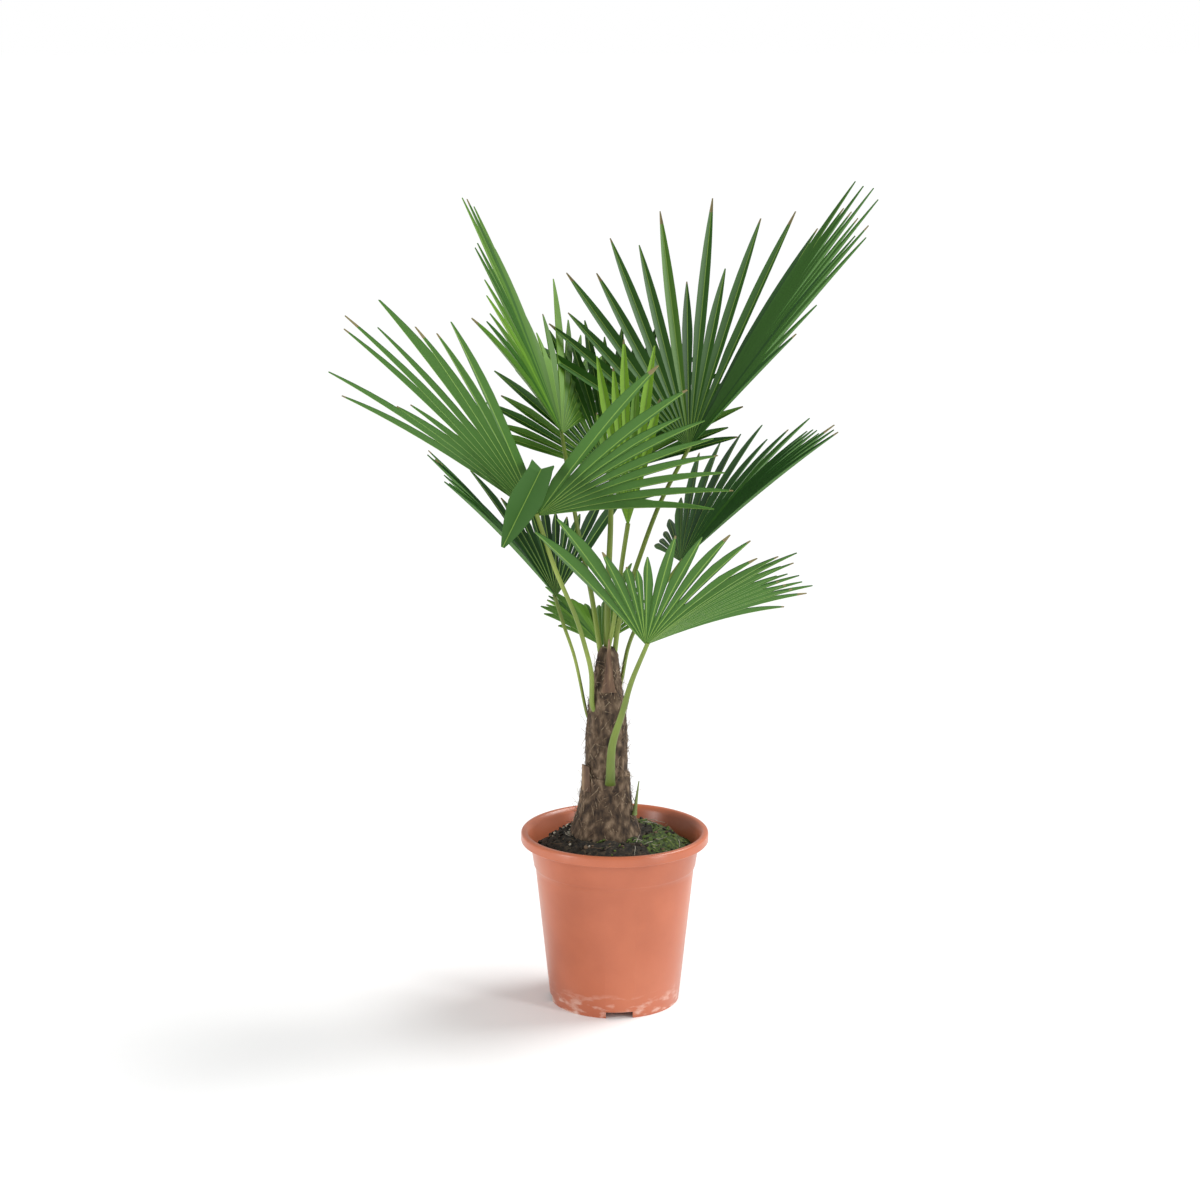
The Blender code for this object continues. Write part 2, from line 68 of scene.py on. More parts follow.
def noise_node(made, scale, detail=6.0, stretch=(1, 1, 1)):
    """Noise over the object's own coordinates, which can be stretched along an axis."""
    tree = made.node_tree
    place = tree.nodes.new("ShaderNodeTexCoord")
    mapping = tree.nodes.new("ShaderNodeMapping")
    mapping.inputs["Scale"].default_value = stretch
    texture = tree.nodes.new("ShaderNodeTexNoise")
    texture.inputs["Scale"].default_value = scale
    texture.inputs["Detail"].default_value = detail
    tree.links.new(place.outputs["Object"], mapping.inputs["Vector"])
    tree.links.new(mapping.outputs["Vector"], texture.inputs["Vector"])
    return texture


def mottled(name, colours, scale, roughness, bump=0.0, stretch=(1, 1, 1)):
    """Material that runs through several colours by noise, with an optional bump in metres."""
    made = plain(name, colours[0], roughness)
    tree = made.node_tree
    shader = tree.nodes["Principled BSDF"]
    texture = noise_node(made, scale, stretch=stretch)
    ramp = tree.nodes.new("ShaderNodeValToRGB")
    stops = ramp.color_ramp.elements
    stops[0].position = DARK_STOP
    stops[0].color = (*colours[0], 1.0)
    stops[1].position = PALE_STOP
    stops[1].color = (*colours[-1], 1.0)
    for index, colour in enumerate(colours[1:-1]):
        share = (index + 1) / (len(colours) - 1)
        stop = stops.new(DARK_STOP + (PALE_STOP - DARK_STOP) * share)
        stop.color = (*colour, 1.0)
    tree.links.new(texture.outputs["Fac"], ramp.inputs["Fac"])
    tree.links.new(ramp.outputs["Color"], shader.inputs["Base Color"])
    if bump:
        relief = tree.nodes.new("ShaderNodeBump")
        relief.inputs["Distance"].default_value = bump
        tree.links.new(texture.outputs["Fac"], relief.inputs["Height"])
        tree.links.new(relief.outputs["Normal"], shader.inputs["Normal"])
    return made

# %% [markdown]
# ## Finishing a piece
# Every piece ends the same way. Its faces are turned outwards and its bmesh becomes an object at the origin.
# Shading is smooth but for edges that meet at a sharp angle, which serves round walls and folded leaves
# alike.

# %% Finish a piece
def finish(name, bm, looks, nodes, sharp=40):
    """Make the object, let it ride on the root body and take the place of its solids."""
    bmesh.ops.recalc_face_normals(bm, faces=bm.faces)
    mesh = bpy.data.meshes.new(name)
    bm.to_mesh(mesh)
    bm.free()
    for look in looks:
        mesh.materials.append(look)
    mesh.shade_smooth()
    mesh.set_sharp_from_angle(angle=math.radians(sharp))
    made = bpy.data.objects.new(name, mesh)
    bpy.context.collection.objects.link(made)
    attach(made, "root")
    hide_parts(*nodes)
    print(name, "faces:", len(mesh.polygons))
    return made

# %% [markdown]
# ## Pot
# The real pot is thin moulded plastic, the same all the way round. Stacked cylinders would have to be joined
# and thickened, so one profile is spun about the vertical instead: foot ring, wall, collar, turned-over lip
# and inner wall in a single closed skin.

# %% Pot profile
POT_WALL = 0.0018
FOOT, STEP, COLLAR, TOP, LIP = 0.0728, 0.0885, 0.0907, 0.0962, 0.105
STEP_HIGH, COLLAR_HIGH, LIP_LOW, LIP_HIGH = 0.150, 0.158, 0.1857, 0.197
LIP_UNDER = LIP_HIGH - 0.0035
FLOOR_LOW, FLOOR_TOP, PAD = 0.009, 0.011, 0.022
SIDES = 128

underside = [(0.0, 0.0), (PAD, 0.0), (PAD + 0.0015, FLOOR_LOW), (FOOT - 0.0035, FLOOR_LOW)]
foot_ring = [(FOOT - 0.0032, 0.0), (FOOT - 0.0006, 0.0), (FOOT, 0.0008)]
outer_wall = [(STEP, STEP_HIGH), (STEP + 0.0004, COLLAR_HIGH - 0.003),
              (COLLAR - 0.0006, COLLAR_HIGH - 0.0014), (COLLAR, COLLAR_HIGH), (TOP, LIP_UNDER)]
lip_skirt = [(LIP - POT_WALL, LIP_UNDER), (LIP - POT_WALL, LIP_LOW + 0.0004), (LIP - 0.0006, LIP_LOW),
             (LIP, LIP_LOW + 0.0008)]
lip_top = [(LIP, LIP_HIGH - 0.0030), (LIP - 0.0003, LIP_HIGH - 0.0016), (LIP - 0.0012, LIP_HIGH - 0.0006),
           (LIP - 0.0026, LIP_HIGH), (TOP + 0.0034, LIP_HIGH), (TOP + 0.0020, LIP_HIGH - 0.0008)]
inner_wall = [(TOP - POT_WALL, LIP_HIGH - 0.0060), (COLLAR - POT_WALL, COLLAR_HIGH),
              (STEP - POT_WALL, STEP_HIGH), (FOOT - POT_WALL + 0.0009, FLOOR_TOP), (0.0, FLOOR_TOP)]
pot_profile = underside + foot_ring + outer_wall + lip_skirt + lip_top + inner_wall


def turned(profile):
    """Closed shell from a profile of radii and heights that starts and ends on the axis."""
    bm = bmesh.new()
    points = [bm.verts.new((radius, 0.0, height)) for radius, height in profile]
    edges = [bm.edges.new(pair) for pair in zip(points, points[1:])]
    bmesh.ops.spin(bm, geom=points + edges, cent=(0, 0, 0), axis=(0, 0, 1), dvec=(0, 0, 0),
                   angle=math.tau, steps=SIDES, use_merge=True)
    bmesh.ops.remove_doubles(bm, verts=bm.verts, dist=1e-6)
    return bm


print("pot profile points:", len(pot_profile))

# %% [markdown]
# The plastic is a warm clay red that wanders a little in tone. Lime and scuffs pale its foot. They could be a
# second noise all over, but they sit only where water dried, so that noise is multiplied by a fade that ends
# three centimetres up.

# %% Clay plastic with lime at its foot
LIME_HIGH = 0.030
LIME_COLOUR = (0.78, 0.55, 0.46)
SCUFF_STARTS, SCUFF_FULL = 0.50, 0.66


def ranged(tree, socket, start, end):
    """How far a value has gone from start to end, between 0 and 1."""
    step = tree.nodes.new("ShaderNodeMapRange")
    step.inputs["From Min"].default_value = start
    step.inputs["From Max"].default_value = end
    tree.links.new(socket, step.inputs["Value"])
    return step.outputs["Result"]


def add_lime(made):
    """Lay the pale scuffs over the material's own colour."""
    tree = made.node_tree
    shader = tree.nodes["Principled BSDF"]
    own_colour = shader.inputs["Base Color"].links[0].from_socket
    place = tree.nodes.new("ShaderNodeTexCoord")
    split = tree.nodes.new("ShaderNodeSeparateXYZ")
    tree.links.new(place.outputs["Object"], split.inputs["Vector"])
    scuffs = noise_node(made, 55.0, 8.0, (1, 1, 2.5))
    cover = tree.nodes.new("ShaderNodeMath")
    cover.operation = "MULTIPLY"
    tree.links.new(ranged(tree, split.outputs["Z"], LIME_HIGH, 0.0), cover.inputs[0])
    tree.links.new(ranged(tree, scuffs.outputs["Fac"], SCUFF_STARTS, SCUFF_FULL), cover.inputs[1])
    limed = tree.nodes.new("ShaderNodeMix")
    limed.data_type = "RGBA"
    limed.inputs["B"].default_value = (*LIME_COLOUR, 1.0)
    tree.links.new(cover.outputs["Value"], limed.inputs["Factor"])
    tree.links.new(own_colour, limed.inputs["A"])
    tree.links.new(limed.outputs["Result"], shader.inputs["Base Color"])


clay = mottled("clay plastic", [(0.42, 0.112, 0.052), (0.50, 0.140, 0.066), (0.55, 0.165, 0.080)], 9.0, 0.30)
add_lime(clay)
pot = finish("pot_visual", turned(pot_profile), [clay], ["pot"], 35)

# %% [markdown]
# Four notches in the foot ring let water out, the front one a little right of the middle. A notch could be
# modelled into the ring face by face. Taking four boxes away with one boolean is shorter and cuts clean.

# %% Notches in the foot ring
NOTCHES = 4
FRONT_NOTCH = -86                       # degrees about the vertical
NOTCH_SIZE = (0.020, 0.030, 0.015)

bm = bmesh.new()
for index in range(NOTCHES):
    turn = Matrix.Rotation(math.radians(FRONT_NOTCH + 360 / NOTCHES * index), 4, "Z")
    place = Matrix.Translation((FOOT, 0, 0))
    bmesh.ops.create_cube(bm, size=1.0, matrix=turn @ place @ Matrix.Diagonal((*NOTCH_SIZE, 1)))
notch_mesh = bpy.data.meshes.new("notches")
bm.to_mesh(notch_mesh)
bm.free()
notches = bpy.data.objects.new("notches", notch_mesh)
bpy.context.collection.objects.link(notches)
cut = pot.modifiers.new("notches", "BOOLEAN")
cut.operation = "DIFFERENCE"
cut.object = notches
with bpy.context.temp_override(object=pot, active_object=pot):
    bpy.ops.object.modifier_apply(modifier=cut.name)
bpy.data.objects.remove(notches, do_unlink=True)
print("pot faces with its notches:", len(pot.data.polygons))

# %% [markdown]
# ## Compost
# The compost is level under the trunk and lower at the wall, with lumps and grit. It is turned like the pot,
# with many rings in its top, and each of those points is then set to a height from two sizes of noise. The
# same height rule places the crumbs later. Moss covers the right side, as a second material on the same mesh.

# %% Compost
SOIL_EDGE, SOIL_LEVEL = 0.173, 0.1945
SOIL_EDGE_RADIUS, LEVEL_RADIUS = 0.0911, 0.050
SOIL_GAP, SOIL_OFF_FLOOR = 0.0006, 0.0003
SOIL_RINGS = 34
LUMP_HEIGHT, LUMPS_PER_METRE = 0.0030, 55
GRIT_HEIGHT, GRIT_PER_METRE = 0.0022, 160
MOSS_FROM_X, MOSS_FROM_Y, MOSS_WANDERS = 0.030, -0.055, 0.035


def soil_height(x, y):
    """Height of the compost's top at a place."""
    share = max(0.0, min(1.0, (SOIL_EDGE_RADIUS - math.hypot(x, y)) / (SOIL_EDGE_RADIUS - LEVEL_RADIUS)))
    rise = math.sin(share * math.pi / 2) ** 1.4
    lump = LUMP_HEIGHT * noise.noise(Vector((x, y, 0)) * LUMPS_PER_METRE)
    grit = GRIT_HEIGHT * noise.noise(Vector((x, y, 3)) * GRIT_PER_METRE)
    return SOIL_EDGE + rise * (SOIL_LEVEL - SOIL_EDGE) + (lump + grit) * min(1.0, 0.3 + share)


soil_inset = POT_WALL + SOIL_GAP
soil_profile = [(0.0, FLOOR_TOP + SOIL_OFF_FLOOR), (FOOT - soil_inset, FLOOR_TOP + SOIL_OFF_FLOOR),
                (STEP - soil_inset, STEP_HIGH), (COLLAR - soil_inset, COLLAR_HIGH)]
soil_profile += [(SOIL_EDGE_RADIUS * (1 - ring / SOIL_RINGS), SOIL_EDGE) for ring in range(SOIL_RINGS + 1)]
bm = turned(soil_profile)
for vert in bm.verts:
    if vert.co.z > SOIL_EDGE - 0.001:
        vert.co.z = soil_height(vert.co.x, vert.co.y)
for face in bm.faces:
    middle = face.calc_center_median()
    wander = noise.noise(middle * 45) * MOSS_WANDERS
    on_top = middle.z > SOIL_EDGE - 0.006
    if on_top and middle.x > MOSS_FROM_X + wander and middle.y > MOSS_FROM_Y + wander:
        face.material_index = 1
compost = mottled("compost", [(0.006, 0.005, 0.004), (0.022, 0.017, 0.011), (0.075, 0.055, 0.034)],
                  230.0, 0.95, 0.0015)
moss = mottled("moss", [(0.010, 0.014, 0.004), (0.035, 0.060, 0.010), (0.11, 0.15, 0.022)],
               260.0, 0.95, 0.0015)
finish("soil_visual", bm, [compost, moss], ["soil"])

# %% [markdown]
# ## Limbs
# Roots, trunk, fibres, leaf bases and stalks are all long and tapering. A curve with a round bevel could draw
# them, but a leaf stalk goes from flat to nearly round on its way. So a limb here is one ring, extruded from
# place to place along a smooth path, and each ring has its own width, thickness and turn.

# %% Rings, paths and limbs
EARLY_TAPER = 0.6                       # under 1, a limb changes its width mostly near its start


def ring_matrix(centre, along, wide, half_wide, half_thick):
    """Matrix that turns a circle of radius 1 into the limb's outline at one place."""
    along = along.normalized()
    side = (wide - along * wide.dot(along)).normalized()
    turn = Matrix((side, along.cross(side), along)).transposed().to_quaternion()
    return Matrix.LocRotScale(centre, turn, Vector((half_wide, half_thick, 1.0)))


def add_limb(bm, rings, sides):
    """Closed limb through the given rings."""
    first = bmesh.ops.create_circle(bm, cap_ends=True, segments=sides, radius=1.0, matrix=rings[0])
    face = first["verts"][0].link_faces[0]
    for last, following in zip(rings, rings[1:]):
        grown = bmesh.ops.extrude_face_region(bm, geom=[face, *face.edges, *face.verts])["geom"]
        face = next(item for item in grown if isinstance(item, bmesh.types.BMFace))
        bmesh.ops.transform(bm, matrix=following @ last.inverted(), verts=face.verts)


def smooth_path(points, steps):
    """Points along a smooth curve that passes through the given ones."""
    points = [Vector(point) for point in points]
    ends = [2 * points[0] - points[1]] + points + [2 * points[-1] - points[-2]]
    path = []
    for before, start, end, after in zip(ends, ends[1:], ends[2:], ends[3:]):
        for index in range(steps):
            t = index / steps
            path.append(0.5 * (2 * start + (end - before) * t
                               + (2 * before - 5 * start + 4 * end - after) * t ** 2
                               + (3 * start - before - 3 * end + after) * t ** 3))
    path.append(points[-1])
    return path


def along_path(path, wide_at, half_wides, half_thicks):
    """Rings along a path, with the width's direction and size running from first to last."""
    rings = []
    for index, centre in enumerate(path):
        share = index / (len(path) - 1)
        ahead = path[min(index + 1, len(path) - 1)] - path[max(index - 1, 0)]
        wide = Vector(wide_at[0]).lerp(Vector(wide_at[1]), share)
        change = share ** EARLY_TAPER
        half_wide = half_wides[0] + change * (half_wides[1] - half_wides[0])
        half_thick = half_thicks[0] + change * (half_thicks[1] - half_thicks[0])
        rings.append(ring_matrix(centre, ahead, wide, half_wide, half_thick))
    return rings

# %% [markdown]
# ## Crumbs and roots
# Crumbs, chips and fine roots lie loose on the compost. Particles could scatter them, but the export takes
# finished meshes, so small squashed balls and thin wandering limbs are added to a single mesh instead. Some
# crumbs on the right are mossy, and some chips on the left are pale.

# %% Crumbs and roots
CRUMBS, CRUMB_REACH = 420, 0.089
CRUMB_SIZES = (0.0010, 0.0014, 0.0020, 0.0028)
ROOTS, ROOT_RADIUS = 46, 0.0004
STRAND_STEPS, STRAND_WANDERS = 4, 0.06
DARK, MOSSY, BROWN, PALE = range(4)
MOSSY_MIX, PALE_MIX = (DARK, DARK, DARK, MOSSY, MOSSY, BROWN), (DARK, DARK, DARK, DARK, BROWN, PALE)
MOSSY_FROM = -0.02


def faces_since(bm, count):
    """Faces made since the mesh had this many."""
    bm.faces.ensure_lookup_table()
    return bm.faces[count:]


def strand(bm, start, way, length, radius, rng):
    """One thin root or fibre that wanders a little on its way."""
    points = [Vector(start)]
    step = Vector(way).normalized() * length / STRAND_STEPS
    for _ in range(STRAND_STEPS):
        nudge = Vector((rng.uniform(-1, 1), rng.uniform(-1, 1), rng.uniform(-1, 1)))
        step = step + nudge * length * STRAND_WANDERS
        points.append(points[-1] + step)
    wide = Vector((0.31, 0.47, 0.83))
    taper = (radius, radius * 0.5)
    add_limb(bm, along_path(points, (wide, wide), taper, taper), 4)


rng = random.Random(3)
bm = bmesh.new()
for index in range(CRUMBS):
    angle, radius = rng.uniform(0, math.tau), CRUMB_REACH * math.sqrt(rng.uniform(0.16, 1))
    x, y = radius * math.cos(angle), radius * math.sin(angle)
    size = rng.choice(CRUMB_SIZES)
    place = Matrix.Translation((x, y, soil_height(x, y) + 0.3 * size))
    turn = Matrix.Rotation(rng.uniform(0, 6), 4, Vector((rng.random(), rng.random(), 0.2)))
    shape = Matrix.Diagonal((size, size * rng.uniform(0.5, 1), size * rng.uniform(0.4, 0.8), 1))
    before = len(bm.faces)
    bmesh.ops.create_icosphere(bm, subdivisions=1, radius=1.0, matrix=place @ turn @ shape)
    tint = rng.choice(MOSSY_MIX if x > MOSSY_FROM else PALE_MIX)
    for face in faces_since(bm, before):
        face.material_index = tint
for index in range(ROOTS):
    angle, radius = rng.uniform(0, math.tau), rng.uniform(0.045, 0.084)
    x, y = radius * math.cos(angle), radius * math.sin(angle)
    before = len(bm.faces)
    strand(bm, (x, y, soil_height(x, y) + 0.0012), (rng.uniform(-1, 1), rng.uniform(-1, 1), 0.05),
           rng.uniform(0.008, 0.022), ROOT_RADIUS, rng)
    for face in faces_since(bm, before):
        face.material_index = PALE if index % 3 else BROWN
crumb_looks = [plain("dark crumb", (0.020, 0.015, 0.010), 0.95),
               plain("moss crumb", (0.08, 0.12, 0.02), 0.95),
               plain("brown chip", (0.13, 0.085, 0.05), 0.9),
               plain("pale chip", (0.40, 0.36, 0.29), 0.85)]
finish("compost_crumbs", bm, crumb_looks, ["soil"])

# %% [markdown]
# ## Trunk
# The trunk is wrapped in the matted fibre of old leaf bases. It is a fine limb through the same radii as its
# solid, with a root flare and a ledge. Bump alone would leave its outline smooth, so the points themselves
# are moved in and out by noise: broad lumps, and fine ridges that run short along the height.

# %% Trunk
TRUNK_FOOT = SOIL_LEVEL + 0.0003
TRUNK_RADII = ((-0.006, 0.0410), (0.0, 0.0400), (0.009, 0.0375), (0.022, 0.0330), (0.036, 0.0298),
               (0.052, 0.0280), (0.0660, 0.0275), (0.0674, 0.0268), (0.0676, 0.0245), (0.090, 0.0240),
               (0.112, 0.0234), (0.146, 0.0211), (0.160, 0.0188), (0.175, 0.0161), (0.190, 0.0136),
               (0.2052, 0.0112), (0.212, 0.0080))
TRUNK_X, TRUNK_LEANS, LEAN_HEIGHT = -0.0105, 0.0023, 0.205
MIDDLE_X = -0.0095                      # the leaning axis near half height
EVEN_RINGS, TRUNK_SIDES = 110, 84
LUMP_DEPTH, FIBRE_DEPTH, INSET = 0.0011, 0.0010, 0.0006


def trunk_at(height):
    """Centre and radius of the trunk at a height over its foot."""
    for (low, low_radius), (high, high_radius) in zip(TRUNK_RADII, TRUNK_RADII[1:]):
        if height <= high:
            break
    share = max(0.0, min(1.0, (height - low) / (high - low)))
    centre = Vector((TRUNK_X + TRUNK_LEANS * height / LEAN_HEIGHT, 0.0, TRUNK_FOOT + height))
    return centre, low_radius + share * (high_radius - low_radius)


lowest, highest = TRUNK_RADII[0][0], TRUNK_RADII[-1][0]
heights = [height for height, _ in TRUNK_RADII]
heights += [lowest + (highest - lowest) * ring / EVEN_RINGS for ring in range(1, EVEN_RINGS)]
rings = []
for height in sorted(heights):
    centre, radius = trunk_at(height)
    rings.append(ring_matrix(centre, Vector((0, 0, 1)), Vector((1, 0, 0)), radius, radius))
trunk_bm = bmesh.new()
add_limb(trunk_bm, rings, TRUNK_SIDES)
for vert in trunk_bm.verts:
    outward = Vector((vert.co.x - MIDDLE_X, vert.co.y, 0))
    angle = math.atan2(outward.y, outward.x)
    height = vert.co.z - TRUNK_FOOT
    lump = noise.noise(Vector((3 * math.cos(angle), 3 * math.sin(angle), height * 22)))
    fibre = noise.noise(Vector((14 * math.cos(angle), 14 * math.sin(angle), height * 190)))
    vert.co += outward.normalized() * (LUMP_DEPTH * lump + FIBRE_DEPTH * abs(fibre) - INSET)
print("trunk rings:", len(rings), "height:", round(highest - lowest, 3))

# %% [markdown]
# Hundreds of single fibres lie over that relief. Most hug the trunk at a slant, and about one in thirteen
# stands off it, which frays the outline as on the real trunk. An extrusion can list its new faces in another
# order on each run, so the tints are dealt out in order of place, and every run colours them alike.

# %% Loose fibres
FIBRES, FIBRE_RADIUS, FIBRE_LIFT = 520, 0.00028, 0.0002
STANDS_OFF_EVERY = 13
STANDS_OFF, HUGS = 0.9, 0.12
BROWN_FIBRE, PALE_FIBRE = 1, 2


def place_of(face):
    """Middle of a face, to sort faces by."""
    return tuple(face.calc_center_median())


rng = random.Random(11)
for index in range(FIBRES):
    angle = rng.uniform(0, math.tau)
    height = rng.uniform(0.002, 0.20)
    centre, radius = trunk_at(height)
    outward = Vector((math.cos(angle), math.sin(angle), 0))
    around = Vector((-outward.y, outward.x, 0))
    slope = rng.choice((-1, 1)) * rng.uniform(0.3, 1.2)
    loose = HUGS if index % STANDS_OFF_EVERY else STANDS_OFF
    way = around * rng.uniform(-1, 1) + Vector((0, 0, slope)) + outward * loose * rng.uniform(0.3, 1)
    before = len(trunk_bm.faces)
    start = centre + outward * (radius + FIBRE_LIFT)
    strand(trunk_bm, start, way, rng.uniform(0.006, 0.015), FIBRE_RADIUS, rng)
    for face in sorted(faces_since(trunk_bm, before), key=place_of):
        face.material_index = rng.choice((BROWN_FIBRE, BROWN_FIBRE, PALE_FIBRE))
bark = mottled("fibrous bark", [(0.020, 0.012, 0.008), (0.085, 0.055, 0.033), (0.24, 0.17, 0.11)],
               150.0, 0.95, 0.002, (1.0, 1.0, 0.55))
bark_looks = [bark, plain("brown fibre", (0.16, 0.10, 0.06), 0.9),
              plain("pale fibre", (0.42, 0.33, 0.22), 0.9)]
finish("trunk_visual", trunk_bm, bark_looks, ["trunk"], 60)

# %% [markdown]
# ## Dry leaf bases and the side sprout
# The stub of a cut leaf base stands on the trunk's ledge, a pointed dry sheath covers the front of its top,
# and a green sprout grows from the flare on the right. All three are flat limbs on a gentle curve.

# %% Leaf bases and sprout
def small_limb(name, points, wide, half_wides, half_thicks, look, node):
    """Flat limb that narrows from the first half width and thickness to the second."""
    piece = bmesh.new()
    add_limb(piece, along_path(smooth_path(points, 6), (wide, wide), half_wides, half_thicks), 16)
    finish(name, piece, [look], [node])


dry = mottled("dry leaf base", [(0.050, 0.026, 0.017), (0.14, 0.080, 0.046), (0.32, 0.22, 0.13)],
              120.0, 0.8, 0.0008, (1, 1, 0.2))
sprout = mottled("sprout", [(0.13, 0.17, 0.05), (0.26, 0.36, 0.09)], 60.0, 0.5)
small_limb("leaf_base_visual", ((-0.0319, -0.0153, 0.247), (-0.0322, -0.0156, 0.262),
                                (-0.0325, -0.0158, 0.276)),
           (0.57, -0.82, 0), (0.0085, 0.0072), (0.0022, 0.0010), dry, "cut_leaf_base")
small_limb("top_sheath_visual", ((-0.0070, -0.0190, 0.360), (-0.0068, -0.0155, 0.390),
                                 (-0.0066, -0.0128, 0.419)),
           (1, 0, 0), (0.0090, 0.0008), (0.0014, 0.0005), dry, "top_sheath")
small_limb("sprout_visual", ((0.0220, -0.0118, 0.218), (0.0245, -0.0127, 0.240),
                             (0.0268, -0.0130, 0.257)),
           (0.3, 0.95, 0), (0.0040, 0.0008), (0.0030, 0.0006), sprout, "side_sprout")

# %% [markdown]
# ## Fronds
# A palm's fan is a row of folded leaflets about one hub. Each frond's schedule says where it sits and what it
# looks like, and one rule then builds them all. A frond's heading and lift point its middle, in degrees, and
# roll turns it about that line. Fold lifts both halves of the fan, and droop bends it down. A leaflet has a
# bearing from the fan's middle and a reach from the hub. This cell holds the four large fronds.

# %% Schedules of the large fronds
HALF_WIDE = 0.0065


def leaflet(bearing, reach, half_wide=HALF_WIDE, bend=None):
    """One leaflet. A bend is the reach of a sharp fold and the direction beyond it."""
    return {"bearing": bearing, "reach": reach, "half_wide": half_wide, "bend": bend}


def leaflets(*pairs):
    """Straight leaflets of the usual width."""
    return [leaflet(bearing, reach) for bearing, reach in pairs]


LARGE_FRONDS = {
    "front_left": {
        "hub": (-0.084, -0.050, 0.564), "heading": 254, "lift": 46, "roll": 8, "fold": 18, "droop": 0.20,
        "stalk": ((-0.0255, -0.0152, 0.348), (-0.026, -0.0165, 0.380), (-0.032, -0.020, 0.409),
                  (-0.044, -0.028, 0.450), (-0.066, -0.040, 0.506)),
        "stalk_wide": (0.0036, 0.0026), "tint": 2,
        "leaflets": leaflets((-86, 0.195), (-78, 0.225), (-70, 0.230), (-63, 0.240), (-57, 0.255),
                             (-51, 0.270), (2, 0.355), (36, 0.320), (41, 0.305), (48, 0.190),
                             (56, 0.200), (64, 0.290), (71, 0.270))
        + [leaflet(-42, 0.300, 0.008), leaflet(-34, 0.320, 0.008), leaflet(20, 0.345, 0.011),
           leaflet(-15, 0.180, 0.019, (0.088, (-0.40, -0.12, -0.80)))]},
    "upper_right": {
        "hub": (0.081, 0.020, 0.627), "heading": 52, "lift": 42, "roll": 8, "fold": 29, "droop": 0.05,
        "stalk": ((0.0000, 0.0005, 0.4035), (0.006, 0.001, 0.441), (0.026, 0.006, 0.504),
                  (0.050, 0.012, 0.568)),
        "stalk_wide": (0.0031, 0.0025), "tint": 2,
        "leaflets": leaflets((-75, 0.260), (-67, 0.245), (-55, 0.295), (-43, 0.320), (-32, 0.345),
                             (-27, 0.235), (-22, 0.360), (-17, 0.255), (-12, 0.335), (-6, 0.355),
                             (5, 0.400), (14, 0.370), (24, 0.355), (35, 0.340), (44, 0.315),
                             (50, 0.310), (58, 0.230), (64, 0.200))},
    "low_right": {
        "hub": (0.033, -0.060, 0.424), "heading": -47, "lift": 38, "roll": 18, "fold": 22, "droop": 0.21,
        "stalk": ((-0.0050, -0.0286, 0.2652), (-0.003, -0.034, 0.304), (0.008, -0.042, 0.343),
                  (0.018, -0.051, 0.381)),
        "stalk_wide": (0.0072, 0.0030), "tint": 1,
        "leaflets": leaflets((-77, 0.195), (-70, 0.215), (-64, 0.215), (-55, 0.195), (-45, 0.190),
                             (-35, 0.180), (-24, 0.200), (-14, 0.225), (-5, 0.225), (2, 0.220),
                             (7, 0.240), (12, 0.235), (18, 0.215), (25, 0.205), (33, 0.160))
        + [leaflet(42, 0.140, 0.008), leaflet(57, 0.232, 0.009), leaflet(65, 0.222, 0.009)]},
    "upper_left": {
        "hub": (-0.058, 0.040, 0.639), "heading": 122, "lift": 56, "roll": -36, "fold": 10, "droop": 0.20,
        "stalk": ((-0.0165, 0.0015, 0.4035), (-0.025, 0.012, 0.458), (-0.031, 0.018, 0.487),
                  (-0.043, 0.028, 0.545), (-0.055, 0.037, 0.617)),
        "stalk_wide": (0.0032, 0.0028), "tint": 3,
        "leaflets": leaflets((-71, 0.255), (-63, 0.205), (-33, 0.235), (-22, 0.290), (-17, 0.290),
                             (-12, 0.285), (-5, 0.240), (8, 0.140), (23, 0.255), (36, 0.200),
                             (47, 0.215), (60, 0.160))},
}
print("large fronds:", len(LARGE_FRONDS))

# %% [markdown]
# The smaller fronds and the two at the back follow the same schedule. The back ones show only in gaps between
# the others, so theirs are guesses that fit those gaps.

